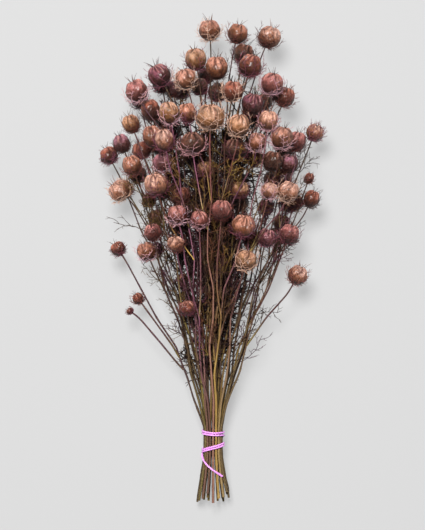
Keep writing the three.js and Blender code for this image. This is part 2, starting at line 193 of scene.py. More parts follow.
def merged_mesh(node):
    """A node's points, each place once, and its triangles."""
    mesh = node.data
    mesh.calc_loop_triangles()
    points = np.empty(len(mesh.vertices) * 3)
    mesh.vertices.foreach_get("co", points)
    corners = np.empty(len(mesh.loop_triangles) * 3, np.int32)
    mesh.loop_triangles.foreach_get("vertices", corners)
    places, index = np.unique(np.round(points.reshape(-1, 3), 6), axis=0, return_inverse=True)
    return places, index.reshape(-1)[corners].reshape(-1, 3)


class Groups:
    """Numbers that are joined into groups."""

    def __init__(self, count):
        self.leader = list(range(count))

    def of(self, item):
        while self.leader[item] != item:
            self.leader[item] = self.leader[self.leader[item]]
            item = self.leader[item]
        return item

    def join(self, a, b):
        self.leader[self.of(a)] = self.of(b)

    def members(self, items):
        found = {}
        for item in items:
            found.setdefault(self.of(item), []).append(item)
        return list(found.values())


def lengths_along(points):
    """How far along the path each point is."""
    return np.concatenate([[0], np.cumsum(np.linalg.norm(np.diff(points, axis=0), axis=1))])


def evenly_spaced(points, count):
    """The same path as count even points, how far along they are, and the old points' lengths."""
    length = lengths_along(points)
    at = np.linspace(0, length[-1], count)
    return np.stack([np.interp(at, length, points[:, k]) for k in range(3)], axis=1), at, length


def narrowest(points, faces):
    """Each triangle's smallest height. A pod's faces are broad, and a stem's are not."""
    a, b, c = (points[faces[:, k]] for k in range(3))
    doubled = np.linalg.norm(np.cross(b - a, c - a), axis=1)
    longest = np.max([np.linalg.norm(x - y, axis=1) for x, y in ((a, b), (b, c), (c, a))], axis=0)
    return doubled / np.maximum(longest, 1e-9)


def section(points, faces, level):
    """The closed outlines that a plane across the bunch cuts: each one's middle and its radius."""
    heights = points[faces][:, :, 1] - level
    crossed = faces[(heights.min(axis=1) < 0) & (heights.max(axis=1) >= 0)]
    cuts, pairs = {}, []
    for face in crossed:
        ends = []
        for i, k in ((0, 1), (1, 2), (2, 0)):
            low, high = sorted((int(face[i]), int(face[k])))
            if (points[low][1] < level) != (points[high][1] < level):
                ends.append(cuts.setdefault((low, high), len(cuts)))
        pairs.append(ends)
    groups = Groups(len(cuts))
    used = [0] * len(cuts)
    for one, other in pairs:
        groups.join(one, other)
        used[one] += 1
        used[other] += 1
    places = np.array([cut_at(points[a], points[b], level) for a, b in cuts]).reshape(-1, 3)
    return [
        (places[ring].mean(axis=0), outline_radius(places[ring]))
        for ring in groups.members(range(len(cuts)))
        if len(ring) > 2 and all(used[cut] == 2 for cut in ring)
    ]


def cut_at(a, b, level):
    return a + (b - a) * ((level - a[1]) / (b[1] - a[1]))


def outline_radius(ring):
    """The radius of a slim outline, taken across its narrow way because a leaning stem is cut aslant."""
    flat = (ring - ring.mean(axis=0))[:, [0, 2]]
    spread = np.sqrt(np.maximum(np.linalg.eigvalsh(flat.T @ flat / len(ring)), 0))
    return float(spread[0] * math.sqrt(2))


def find_pods(points, faces):
    """Each lump of broad faces as (middle, its points), the furthest first."""
    broad = faces[narrowest(points, faces) > BROAD_FACE]
    groups = Groups(len(points))
    for a, b, c in broad.tolist():
        groups.join(a, b)
        groups.join(b, c)
    lumps = [points[members] for members in groups.members(sorted(set(broad.ravel().tolist())))]
    lumps = [lump for lump in lumps if len(lump) > 6]
    return sorted(((lump.mean(axis=0), lump) for lump in lumps), key=lambda found: -found[0][1])


def follow_down(middle, sections):
    """The outlines from a pod down to the cut end, each the nearest to where the last two point."""
    start = min(
        ((np.linalg.norm(at - middle), k, at, r) for k, rings in enumerate(sections) for at, r in rings),
        key=lambda found: found[0],
    )
    path = [start[2:]]
    for rings in reversed(sections[: start[1]]):
        if not rings:
            continue
        ahead = path[-1][0]
        if len(path) > 3:
            ahead = ahead + (path[-1][0] - path[-4][0]) / 3
        path.append(min(rings, key=lambda ring: np.linalg.norm(ring[0] - ahead)))
    return path[::-1]


def make_pod(middle, lump, neck, finish, number):
    axis = middle - neck
    axis = axis / np.linalg.norm(axis)
    along = (lump - neck) @ axis
    across = np.linalg.norm(lump - neck - along[:, None] * axis, axis=1)
    height = float(along.max() - along.min())
    return Pod(neck + axis * along.min(), axis, float(across.max()), height, finish, number)


def even_out(values, window):
    """A running mean that keeps both ends where they are."""
    padded = np.concatenate([np.repeat(values[:1], window, 0), values, np.repeat(values[-1:], window, 0)])
    kernel = np.ones(2 * window + 1) / (2 * window + 1)
    return np.stack([np.convolve(column, kernel, "valid") for column in padded.T], axis=1)


def make_run(path, pod, is_main, spacing=5 * MM):
    """A smooth run of stem from its outlines, ending a little inside its pod."""
    points = even_out(np.array([at for at, _ in path]), 3)
    radii = even_out(np.array([[r] for _, r in path]), 5)[:, 0]
    points = np.vstack([points, pod.base, pod.base + pod.axis * 0.12 * pod.height])
    radii = np.append(radii, [radii[-1], radii[-1]])
    count = max(4, int(lengths_along(points)[-1] / spacing))
    even, at, length = evenly_spaced(points, count)
    return Run(even, np.interp(at, length, radii), pod, is_main)


def read_stalk(name, finishes, first_number, start=0.4 * MM, step=1.5 * MM):
    """A stalk's pods and runs of stem, read from its node's mesh."""
    points, faces = merged_mesh(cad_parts[name])
    slim = faces[narrowest(points, faces) <= BROAD_FACE]
    levels = np.arange(points[:, 1].min() + start, points[:, 1].max(), step)
    sections = [section(points, slim, level) for level in levels]
    runs, seen = [], set()
    for i, (middle, lump) in enumerate(find_pods(points, faces)):
        path = follow_down(middle, sections)
        pod = make_pod(middle, lump, path[-1][0], finishes[min(i, len(finishes) - 1)], first_number + i)
        keys = [tuple(np.round(at, 6)) for at, _ in path]
        shared = sum(key in seen for key in keys)
        seen.update(keys)
        runs.append(make_run(path[max(0, shared - 3) :], pod, is_main=i == 0))
    return Stalk(name, runs)


def read_stalks():
    stalks = []
    for name, finishes in zip(STALK_NODES, POD_FINISHES, strict=True):
        stalks.append(read_stalk(name, finishes.split(), sum(len(s.runs) for s in stalks)))
    return stalks


STALKS = read_stalks()


# ---- Meshes ----


class Shape:
    """Gathers patches of faces, with named values at their points, into one mesh."""

    def __init__(self):
        self.points, self.faces, self.values, self.count = [], [], {}, 0

    def add(self, points, faces, **values):
        """Adds a patch. A value is a number or a triple, for each point or all. Returns its first point."""
        first = self.count
        self.faces += (faces + first).tolist()
        self.points.append(points)
        for name, value in values.items():
            value = np.asarray(value, dtype=float)
            width = 3 if value.ndim and value.shape[-1] == 3 else 1
            value = np.broadcast_to(value.reshape(-1, width), (len(points), width))
            self.values.setdefault(name, []).append(value)
        self.count += len(points)
        return first

    def add_tubes(self, points, steps, sides, is_open=False, **values):
        """Adds tubes, whose points come ring by ring. An open one is closed only at its far end."""
        first = self.add(points, walls(len(points) // (steps * sides), steps, sides), **values)
        starts = np.arange(first, self.count, steps * sides)[:, None] + np.arange(sides)
        if not is_open:
            self.faces += starts[:, ::-1].tolist()
        self.faces += (starts + (steps - 1) * sides).tolist()

    def build(self, name, material, node):
        """Makes the piece, which rides on the root and stands for the node."""
        mesh = bpy.data.meshes.new(name)
        mesh.from_pydata(np.concatenate(self.points).tolist(), [], self.faces)
        mesh.shade_smooth()
        for value_name, parts in self.values.items():
            value = np.concatenate(parts)
            kind, field = (("FLOAT", "value"), ("FLOAT_VECTOR", "vector"))[value.shape[1] == 3]
            mesh.attributes.new(value_name, kind, "POINT").data.foreach_set(field, value.ravel())
        mesh.materials.append(material)
        piece = new_object(name, mesh)
        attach(piece, "root")
        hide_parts(node)

    def build_part(self, stalk, part, material):
        self.build(stalk.name + "_" + part, material, stalk.name)


def new_object(name, data):
    """An object that is in the scene."""
    made = bpy.data.objects.new(name, data)
    bpy.context.scene.collection.objects.link(made)
    return made


def unit(vectors):
    return vectors / np.maximum(np.linalg.norm(vectors, axis=-1, keepdims=True), 1e-12)


def walls(count, steps, sides):
    """The faces of count tubes, whose points come ring by ring."""
    tube, step, side = np.meshgrid(range(count), range(steps - 1), range(sides), indexing="ij")
    here = (tube * steps + step) * sides
    beside = (side + 1) % sides
    corners = [here + side, here + beside, here + sides + beside, here + sides + side]
    return np.stack(corners, axis=-1).reshape(-1, 4)


def around(sides):
    """The turns of even points round a ring."""
    return np.arange(sides) / sides * 2 * math.pi


def round_axis(out, turns, rise):
    """Points given by how far out they are, their turn, and how far up."""
    return np.stack([out * np.cos(turns), out * np.sin(turns), rise], axis=-1)


def headings(paths):
    """The direction of each path at each of its points."""
    return unit(np.gradient(paths, axis=-2))


def tubes(paths, radii, sides, ribs=0.0):
    """The points of tubes along many paths at once, paths being (tubes, points, 3) and radii (tubes, points).
    Ribs lift every second side."""
    steps = radii.shape[1]
    ahead = headings(paths)
    across = np.cross(ahead[:, 0], [0.31, 0.2, 0.93])
    sideways = np.empty_like(paths)
    for k in range(steps):
        across = unit(across - np.sum(across * ahead[:, k], axis=1, keepdims=True) * ahead[:, k])
        sideways[:, k] = across
    other = np.cross(ahead, sideways)
    turn = around(sides)
    swell = 1 + ribs * np.where(np.arange(sides) % 2, -1, 0)
    reach = radii[:, :, None, None] * swell[:, None]
    rings = paths[:, :, None] + reach * (
        np.cos(turn)[:, None] * sideways[:, :, None] + np.sin(turn)[:, None] * other[:, :, None]
    )
    return rings.reshape(-1, 3)


def tube_place(sides, lengths):
    """Each point's place on a tube's skin: round it, and its length along it."""
    return round_axis(1, np.tile(around(sides), len(lengths)), np.repeat(lengths, sides))


def add_threads(shape, paths, radii, sides, tones):
    """Adds threads as tubes. Tones is one colour for each."""
    paths = kept_in(paths)
    count, steps = radii.shape
    share = np.repeat(np.tile(np.linspace(0, 1, steps), count), sides)
    tone = np.repeat(tones, steps * sides, axis=0)
    shape.add_tubes(tubes(paths, radii, sides), steps, sides, share=share, tone=tone)


# ---- Shaders ----


class Value:
    """A shader socket that takes part in sums. Each sum adds a Math node."""

    def __init__(self, shader, socket):
        self.shader = shader
        self.socket = socket

    def math(self, operation, *values):
        return self.shader.add("ShaderNodeMath", {"operation": operation}, dict(enumerate(values)))

    def __add__(self, other):
        return self.math("ADD", self, other)

    def __sub__(self, other):
        return self.math("SUBTRACT", self, other)

    def __rsub__(self, other):
        return self.math("SUBTRACT", other, self)

    def __mul__(self, other):
        return self.math("MULTIPLY", self, other)

    __radd__ = __add__
    __rmul__ = __mul__

    def ramp(self, low, high):
        """From 0 at low to 1 at high, eased at both."""
        settings = {"interpolation_type": "SMOOTHSTEP"}
        sockets = {"Value": self, "From Min": low, "From Max": high}
        return self.shader.add("ShaderNodeMapRange", settings, sockets)


class Shader:
    """A material's node tree with one Principled shader."""

    def __init__(self, name, **constants):
        self.material = bpy.data.materials.new(name)
        self.material.use_nodes = True
        self.tree = self.material.node_tree
        self.surface = self.tree.nodes["Principled BSDF"]
        for socket, value in constants.items():
            self.surface.inputs[socket.replace("_", " ").title().replace("Ior", "IOR")].default_value = value

    def add(self, kind, settings, sockets, output=0):
        """Any node: its settings first, then the values or links of its sockets."""
        node = self.tree.nodes.new(kind)
        for name, value in settings.items():
            setattr(node, name, value)
        for key, value in sockets.items():
            self.plug(node.inputs[key], value)
        return Value(self, node.outputs[output])

    def plug(self, socket, value):
        if isinstance(value, Value):
            self.tree.links.new(value.socket, socket)
        elif socket.type == "RGBA":
            socket.default_value = (*value, 1)
        else:
            socket.default_value = value

    def named(self, name, output="Fac"):
        """A value that the mesh carries at its points."""
        return self.add("ShaderNodeAttribute", {"attribute_name": name}, {}, output)

    def noise(self, place, scale, detail, distortion=0.0):
        sockets = {"Vector": place, "Scale": scale, "Detail": detail, "Distortion": distortion}
        return self.add("ShaderNodeTexNoise", {}, sockets)

    def cell_edges(self, place, scale):
        """How far it is to the edge between two cells."""
        settings = {"feature": "DISTANCE_TO_EDGE"}
        return self.add("ShaderNodeTexVoronoi", settings, {"Vector": place, "Scale": scale}, "Distance")

    def stretched(self, place, along, across=1.0):
        scale = (across, across, along)
        return self.add("ShaderNodeVectorMath", {"operation": "MULTIPLY"}, {0: place, 1: scale})

    def mix(self, share, one, other, blend="MIX"):
        """Two colours mixed by share."""
        settings = {"data_type": "RGBA", "blend_type": blend}
        return self.add("ShaderNodeMix", settings, {0: share, 6: one, 7: other}, 2)

    def finish(self, **sockets):
        for name, value in sockets.items():
            self.plug(self.surface.inputs[name.replace("_", " ").title()], value)
        return self.material

    def bump(self, height, distance, strength):
        sockets = {"Height": height, "Distance": distance, "Strength": strength}
        return self.add("ShaderNodeBump", {}, sockets)


def pod_material(settings):
    """Papery capsule: a rosy crown over a browner body, partly its own colour and partly painted highlight;
    painted highlight on the fold crests; painted shade in the creases, wrinkle furrows and towards the base;
    dark seams, net lines, fine wrinkles and a satin gloss.
    """
    s = Shader("papery_pod", ior=1.5, specular_ior_level=0.3, coat_weight=0.3, coat_roughness=0.26)
    place = s.named("place", "Vector")
    up = s.named("up")
    crease = s.named("crease")
    blotch = s.noise(place, 1.5, 4.0)
    grain = s.noise(s.stretched(place, 0.45), 13.0, 8.0, 0.6)
    wrinkle = s.noise(s.stretched(place, 0.5), 4.5, 4.0, 1.2)
    net = 1 - s.cell_edges(s.stretched(place, 0.6), 15.0).ramp(0.0, 0.12)
    # The crown's paler colour is partly the pod's own and partly painted highlight where the key light falls.
    rosy = (up + (blotch - 0.5) * 1.3).ramp(0.42, 0.95)
    body = s.mix(rosy, s.named("tone", "Color"), s.named("crown", "Color"))
    # Painted highlight on the crests of the folds.
    body = s.mix(s.named("crest") * 0.65, body, settings.crest_highlight_tint)
    body = s.mix((grain - 0.35) * 1.5, body, settings.dry_tint, "SOFT_LIGHT")
    # Painted shade in the wrinkle furrows, the fold creases and towards the base; the tint also darkens the
    # seams, which are the skin's own stripes, and the net lines.
    furrow_shade = (wrinkle - 0.5).ramp(0.0, 0.16)
    foot = (1 - up).ramp(0.35, 0.95)
    for mask in (furrow_shade * 0.6, crease * 0.9, s.named("seam") * 0.4, net * 0.4, foot * 0.9):
        body = s.mix(mask, body, settings.shade_and_seam_tint, "MULTIPLY")
    height = grain * 0.8 - net * 0.25 - wrinkle * 2.2
    return s.finish(
        base_color=body,
        roughness=0.36 + grain * 0.24 + crease * 0.15,
        normal=s.bump(height, 0.8 * MM, 0.9),
    )


def stem_material():
    """Dry ribbed stem: streaks along it, pale flecks, and a pale pith where it was cut."""
    s = Shader("dry_stem", ior=1.4, specular_ior_level=0.3)
    place = s.named("place", "Vector")
    streak = s.noise(s.stretched(place, 0.06), 2.2, 5.0)
    fleck = s.noise(place, 1.4, 3.0)
    body = s.mix((streak - 0.3) * 1.1, s.named("tone", "Color"), colour("#3A2418"))
    body = s.mix((fleck - 0.5).ramp(0.0, 0.25) * 0.35, body, colour("#B39A6C"))
    body = s.mix(s.named("cut"), body, colour("#CDBB90"))
    return s.finish(
        base_color=body,
        roughness=0.5 + fleck * 0.25,
        normal=s.bump(streak, 0.25 * MM, 0.7),
    )


def thread_material():
    """Dry thread leaf: the thread's given colour, which carries painted light and shade on leaves and bracts,
    paler towards its tip and mottled.
    """
    s = Shader("dry_thread", ior=1.4, specular_ior_level=0.25)
    spot = s.noise(s.add("ShaderNodeTexCoord", {}, {}, "Object"), 260.0, 2.0)
    body = s.mix(s.named("share"), s.named("tone", "Color"), colour("#C9A59A"), "SOFT_LIGHT")
    body = s.mix((spot - 0.35) * 0.8, body, colour("#2A1814"))
    return s.finish(base_color=body, roughness=0.45 + spot * 0.3)


def band_material(settings):
    """Pink elastic: glossy, with faint rings where it is stretched."""
    s = Shader("pink_elastic", ior=1.5, coat_roughness=0.25)
    place = s.named("place", "Vector")
    rings = s.noise(s.stretched(place, 1.0, across=0.2), 1.8, 3.0)
    wear = s.noise(place, 0.5, 4.0)
    body = s.mix((rings - 0.4) * 0.5, settings.elastic_tint, settings.pale_tint)
    body = s.mix((wear - 0.55).ramp(0.0, 0.2) * 0.4, body, settings.deep_tint)
    return s.finish(base_color=body, roughness=0.3 + wear * 0.2, normal=s.bump(rings, 0.12 * MM, 0.5))


def floor_material(settings):
    s = Shader("pale_table", ior=1.4)
    place = s.add("ShaderNodeTexCoord", {}, {}, "Object")
    cloud = s.noise(place, 1.3, 2.0)
    grain = s.noise(place, 900.0, 2.0)
    body = s.mix((cloud - 0.5) * 0.1, settings.floor_tint, colour("#6F6F70"))
    s.surface.inputs["Emission Strength"].default_value = settings.floor_glow
    return s.finish(
        base_color=body,
        emission_color=body,
        roughness=0.75 + grain * 0.1,
        normal=s.bump(grain, 0.02 * MM, 0.2),
    )


# ---- Pods ----


def uneven(turn, draw):
    """Turns shifted a little, so that folds differ in width."""
    return turn + sum(draw.uniform(0.1, 0.5) / k * np.sin(k * turn + draw.uniform(0, 6)) for k in (1, 2, 3))


def pleats(turn, up, count, draw):
    """From 0 in the creases to 1 on the crests of folds with flat flanks, which wander on their way down."""
    drift = 0.4 * np.sin(up * 8 + draw.uniform(0, 6))
    wave = np.abs(np.sin(uneven(turn, draw) * count / 2 + draw.uniform(0, 6) + drift))
    return np.arcsin(wave) * 2 / math.pi


def puckers(turn, up, draw, settings):
    """The folds that gather at the crown: how deep each point lies, how far it is inside a crease and how far
    up on a crest. Each fold has its own length."""
    count = draw.choice((7, 8, 9, 10))
    crest = pleats(turn, up, count, draw)
    small = pleats(turn, up, count * 2 + 1, draw)
    length = 0.34 + 0.16 * np.sin(turn * draw.choice((2, 3)) + draw.uniform(0, 6))
    fade = np.clip((up - 1 + length) / length, 0, 1) ** 0.65
    depth = settings.fold_depth * fade * ((1 - crest) ** 1.1 + 0.3 * (1 - small))
    crease = fade * np.clip((1 - crest) ** 2.5 * 1.4 + 0.4 * (1 - small) ** 4, 0, 1)
    return depth, crease, fade * crest**2.5


def seams(turn, draw, settings):
    """Shallow grooves where the pod's chambers meet."""
    chamber = uneven(turn, draw) * settings.seams / 2
    line = np.abs(np.cos(chamber)) ** 90
    return settings.seam_depth * (np.abs(np.cos(chamber)) ** 8 + 0.6 * line), line


def rumple(turn, up, draw):
    """Broad dents and bulges of the dry skin."""
    total = 0
    for m, n in ((2, 3), (3, 5), (5, 4), (4, 9)):
        total = total + 0.022 * np.sin(m * turn + draw.uniform(0, 6)) * np.sin(n * up + draw.uniform(0, 6))
    return total


def wrinkles(turn, up, draw):
    """Fine slanting wrinkles, which cross one another."""
    waves = ((9, 21), (-13, 15), (16, 27), (-21, 19), (7, -34))
    return sum(0.0085 * np.sin(m * turn + n * up + draw.uniform(0, 6)) for m, n in waves)


def pod_form(pod, draw, settings):
    """Rings of points from a pod's base to its crown, measured from its base, and what its finish goes by."""
    polar = np.linspace(0.03, 0.985, POD_RINGS)[:, None] * math.pi * np.ones((1, POD_SIDES))
    turn = around(POD_SIDES)[None, :] * np.ones((POD_RINGS, 1))
    up = (1 - np.cos(polar)) / 2
    depth, crease, crest = puckers(turn, up, draw, settings)
    groove, seam = seams(turn, draw, settings)
    bluntness = draw.uniform(0.16, 0.34)
    dents = rumple(turn, up, draw) + wrinkles(uneven(turn, draw), up, draw)
    reach = pod.radius * np.sin(polar) ** (1 - bluntness * up) * (1.03 - depth - groove + dents)
    dip = 0.05 * np.exp(-((1 - up) / 0.03)) + 0.25 * depth
    rise = pod.height * (up - dip)
    local = round_axis(reach, turn, rise).reshape(-1, 3)
    return local, {"up": up, "crease": crease, "crest": crest, "seam": seam * np.clip(up * 3, 0, 1)}


def pod_skin(shape, pod, draw, settings):
    """Adds a pod, closed at its base and its crown."""
    local, values = pod_form(pod, draw, settings)
    tone, crown = (varied(np.array(c), draw, CROWN_SHADES) for c in FINISHES[pod.finish])
    place = local / pod.radius + draw.uniform(0, 50)
    points = off_table(pod.placed(local))
    shape.add_tubes(points, POD_RINGS, POD_SIDES, place=place, tone=tone, crown=crown, **values)


def off_table(points):
    """Points that are lifted where they would be too near the table."""
    points[:, 2] = np.maximum(points[:, 2], TABLE_GAP)
    return points


def varied(tone, draw, amount):
    """A colour made a little lighter or darker, warmer or cooler."""
    shade = 1 + draw.uniform(-amount, amount)
    warm = draw.uniform(-amount, amount) / 2
    return np.clip(tone * shade * np.array([1 + warm, 1, 1 - warm]), 0, 1)


def horns(pod, draw, settings):
    """The styles on the crown: slim horns that stand up from its shoulder. Returns their paths and radii."""
    share = np.linspace(0, 1, 7)
    paths, radii = [], []
    for k in range(settings.seams):
        turn = (k + draw.uniform(-0.3, 0.3)) / settings.seams * 2 * math.pi
        length = pod.radius * draw.uniform(0.45, 1.0) * settings.horn_reach
        lean = draw.uniform(0.15, 0.8)
        out = pod.radius * draw.uniform(0.12, 0.4) + length * lean * share**1.3
        rise = pod.height * 0.9 + length * share * draw.uniform(0.75, 1.0)
        swirl = turn + draw.uniform(-0.3, 0.3) * share
        paths.append(pod.placed(round_axis(out, swirl, rise)))
        radii.append((0.45 - 0.36 * share**0.7) * MM * pod.radius / USUAL_RADIUS)
    return np.array(paths), np.array(radii)


# ---- Bracts round the pods ----


class Cage:
    """Threads that grow round a pod. Each is a path of turn (round the axis), polar angle (0 at the base)
    and reach (in radii), so that the whole cage follows the pod's form."""

    def __init__(self, pod, seed):
        self.pod = pod
        self.draw = np.random.RandomState(seed)
        self.batches = []

    def grow(self, start, travel, thick, thin, steps, bend):
        """Adds threads from arrays of starts and travels, each (turn, polar, reach). Returns their paths."""
        share = np.linspace(0, 1, steps)[None, :]
        wave = self.draw.uniform(-bend, bend, (len(start[0]), 1)) * np.sin(share * math.pi * 1.3)
        turn, polar, reach = (column[:, None] for column in start)
        more_turn, more_polar, more_reach = (column[:, None] for column in travel)
        turns = turn + more_turn * share + wave
        polars = polar + more_polar * share - 0.3 * wave
        reaches = reach + more_reach * share**1.4
        polars = np.clip(polars, 0.02, math.pi - 0.05)
        taper = (thick + (thin - thick) * share) * MM * np.ones((len(turns), 1))
        self.batches.append((self.placed(turns, polars, reaches), taper))
        return turns, polars, reaches

    def placed(self, turns, polars, reaches):
        pod = self.pod
        out = pod.radius * reaches * np.sin(polars) ** 0.85
        rise = pod.height / 2 * (1 - reaches * np.cos(polars))
        return pod.placed(round_axis(out, turns, rise))

    def branch(self, parents, picks, length, spread, flare, thick, thin, steps):
        """Side threads from chosen steps of each parent, by turns to its two sides."""
        start = [grid[:, picks].reshape(-1) for grid in parents]
        count = len(start[0])
        side = np.where(np.arange(count) % 2, -1.0, 1.0)
        size = length * self.draw.uniform(0.5, 1.2, count)
        angle = spread * self.draw.uniform(0.5, 1.4, count)
        travel = (
            side * size * np.sin(angle) / np.maximum(np.sin(start[1]), 0.35),
            size * np.cos(angle),
            flare * self.draw.uniform(0.1, 1.0, count),
        )
        return self.grow(start, travel, thick, thin, steps, 0.08)


def bracts(pod, seed, settings):
    """A pod's cage: ribs that arch round it, with prongs that fork. Returns batches of paths and radii."""
    cage = Cage(pod, seed)
    draw = cage.draw
    count = settings.bracts
    turn = (np.arange(count) + draw.uniform(-0.3, 0.3, count)) / count * 2 * math.pi
    start = (turn, np.full(count, 0.1), np.full(count, 1.02))
    rise = draw.uniform(1.2, 2.5, count) * settings.bract_reach
    travel = (draw.uniform(-0.5, 0.5, count), rise, draw.uniform(0.08, 0.34, count))
    size = 0.7 + 0.3 * pod.radius / USUAL_RADIUS
    ribs = cage.grow(start, travel, 0.34 * size, 0.15, 11, 0.4)
    prongs = cage.branch(ribs, range(1, 10), 0.46, 0.95, 0.42, 0.22 * size, 0.1, 6)
    cage.branch(prongs, [2], 0.24, 0.9, 0.36, 0.18 * size, 0.1, 4)
    return cage.batches


# ---- Leaves along the stems ----


def sprout(starts, ways, lengths, bends, draw, steps):
    """Threads that set out from starts and turn steadily by bends as they grow."""
    points = [starts]
    way = unit(ways)
    for _ in range(steps - 1):
        points.append(points[-1] + way * (lengths / (steps - 1))[:, None])
        way = unit(way + (bends + draw.normal(0, 1.1, way.shape)) / (steps - 1))
    return np.stack(points, axis=1)


def side_threads(paths, picks, spread, lengths, droop, draw, steps):
    """Threads that leave each path at the picked steps, by turns to its two sides."""
    starts = paths[:, picks].reshape(-1, 3)
    ahead = headings(paths)[:, picks].reshape(-1, 3)
    face = np.repeat(unit(draw.normal(0, 1, (len(paths), 3))), len(picks), axis=0)
    side = unit(np.cross(ahead, face)) * np.where(np.arange(len(starts)) % 2, -1, 1)[:, None]
    angle = spread * draw.uniform(0.7, 1.3, (len(starts), 1))
    ways = ahead * np.cos(angle) + side * np.sin(angle) + face * draw.uniform(-0.3, 0.3, (len(starts), 1))
    size = lengths * draw.uniform(0.5, 1.2, len(starts))
    bends = ahead * 0.5 + side * draw.uniform(-0.9, 0.3, (len(starts), 1)) + [0, 0, -droop]
    return sprout(starts, ways, size, bends, draw, steps)


def sidewards(points):
    """How far sideways points lie, as a share of the bunch's half width at their height."""
    half = np.interp(points[:, 1] - CAD_BOX[0][1], WIDTH_AT, HALF_WIDTHS)
    return np.abs(points[:, 0]) / half


def leaf_places(run, spacing, is_deep, draw):
    """Where along a run leaves grow: none at the foot, most at mid length, few among the furthest pods."""
    along = lengths_along(run.points)
    weight = np.interp(run.points[:, 1] - CAD_BOX[0][1], LEAFY_AT, LEAFINESS)
    weight = weight * (along < along[-1] - BARE_BELOW_POD)
    if is_deep:
        weight = weight * np.interp(sidewards(run.points), CORE_AT, CORE_LEAFINESS)
    count = int(weight.sum() * along[-1] / len(along) / spacing)
    return draw.choice(len(along), count, p=weight / weight.sum()) if count else np.zeros(0, int)


def leaves(run, spacing, girth, is_deep, draw, settings):
    """The divided leaves along a run, each a rib with side threads that fork: their paths, and how thick they
    are at the root and at the tip, in millimetres."""
    at = leaf_places(run, spacing, is_deep, draw)
    count = len(at)
    starts = run.points[at]
    ahead = headings(run.points)[at]
    out = unit(np.cross(ahead, draw.normal(0, 1, (count, 3))))
    ways = ahead * draw.uniform(0.4, 1.6, (count, 1)) + out
    size = settings.leaf_length * draw.uniform(0.45, 1.25, count)
    bends = ahead * draw.uniform(0.1, 1.8, (count, 1)) - out * draw.uniform(0.0, 1.6, (count, 1))
    ribs = sprout(starts, ways, size, bends, draw, 8)
    sides = side_threads(ribs, [2, 3, 4, 5, 6], 0.95, settings.leaf_length * 0.42, 0.2, draw, 5)
    tips = side_threads(sides, [1, 3], 0.9, settings.leaf_length * 0.2, 0.2, draw, 4)
    sizes = ((ribs, 0.5, 0.3), (sides, 0.4, 0.22), (tips, 0.3, 0.16))
    return [(paths, thick * girth, thin * girth) for paths, thick, thin in sizes]


def kept_in(paths):
    """Threads pressed back to where they clear the table and stay near the frame's box."""
    low = np.array(CAD_BOX[0]) - REACH_OUT
    high = np.array(CAD_BOX[1]) + REACH_OUT
    low[2] = TABLE_GAP + THICKEST_THREAD
    return np.clip(paths, low, high)


def tapered(paths, thick, thin):
    count, steps = paths.shape[:2]
    return np.repeat(np.linspace(thick, thin, steps)[None, :] * MM, count, axis=0)


# ---- Stems ----


def stem_skin(shape, run, draw, settings):
    """A ribbed stem that swells at its leaf nodes, with a cut end if it is a main stem."""
    sides, steps = settings.stem_sides, len(run.points)
    along = lengths_along(run.points)
    knots = np.sin(along / KNOT_SPACING * math.pi + draw.uniform(0, 6)) ** 40
    radii = run.radii * (1 + 0.22 * knots) * settings.girth
    points = off_table(tubes(run.points[None], radii[None], sides, settings.rib_depth))
    tone = np.repeat(stem_tones(run, draw), sides, axis=0)
    place = tube_place(sides, along / GRAIN_LENGTH) + draw.uniform(0, 60)
    shape.add_tubes(points, steps, sides, is_open=True, tone=tone, place=place, cut=0)
    if run.is_main:
        cut_end(shape, points[:sides], run)


def stem_tones(run, draw):
    """The colour at each point of a run, which turns from the foot's to the neck's on its way up, darkened by
    painted shade deep in the bunch and lightened by painted light on top.
    """
    share = np.linspace(0, 1, len(run.points))
    low, high = (a_tone(choices, draw) for choices in (STEM_TONES, NECK_TONES))
    turn_at = draw.uniform(0.42, 0.75) if run.is_main else draw.uniform(0.0, 0.5)
    blend = np.clip((share - turn_at + 0.25) / 0.4, 0, 1)[:, None]
    return (low * (1 - blend) + high * blend) * draw.uniform(0.6, 1.4) * painted_light_and_shade(run)


def a_tone(choices, draw):
    return np.array(choices[draw.randint(len(choices))])


def painted_light_and_shade(run):
    """Painted shade and light: stems and leaves deep in the bunch are darkened, and those on top lightened,
    by their pod's height.
    """
    return float(np.interp(run.pod.base[2], PAINTED_LIGHT_AT, PAINTED_LIGHT_LEVELS))


def cut_end(shape, ring, run):
    """The pale, slightly hollow pith that shows where the stem was cut."""
    middle = ring.mean(axis=0)
    ahead = unit(run.points[1] - run.points[0])
    inner = middle + (ring - middle) * 0.55 + ahead * 0.3 * MM
    sides = len(ring)
    points = np.vstack([ring, inner])
    rim = walls(1, 2, sides)[:, [1, 0, 3, 2]]
    first = shape.add(points, rim, tone=PITH, place=points / GRAIN_LENGTH, cut=1)
    shape.faces.append((first + sides + np.arange(sides)[::-1]).tolist())


# ---- Band ----


def band_path(node):
    """The middle of the band's strand, read from its node: rings of short edges, in order from end to end."""
    points, faces = merged_mesh(node)
    edges = {tuple(sorted(pair)) for a, b, c in faces.tolist() for pair in ((a, b), (b, c), (c, a))}
    length = {e: np.linalg.norm(points[e[0]] - points[e[1]]) for e in edges}
    groups = Groups(len(points))
    for edge, size in length.items():
        if size < BAND_RING_EDGE:
            groups.join(*edge)
    next_to = {}
    for edge in edges:
        one, other = map(groups.of, edge)
        if one != other:
            next_to.setdefault(one, set()).add(other)
            next_to.setdefault(other, set()).add(one)
    middles = {groups.of(ring[0]): points[ring].mean(axis=0) for ring in groups.members(range(len(points)))}
    order = [next(ring for ring, others in next_to.items() if len(others) == 1)]
    while True:
        onward = [ring for ring in next_to[order[-1]] if ring not in order]
        if not onward:
            return np.array([middles[ring] for ring in order])
        order.append(onward[0])


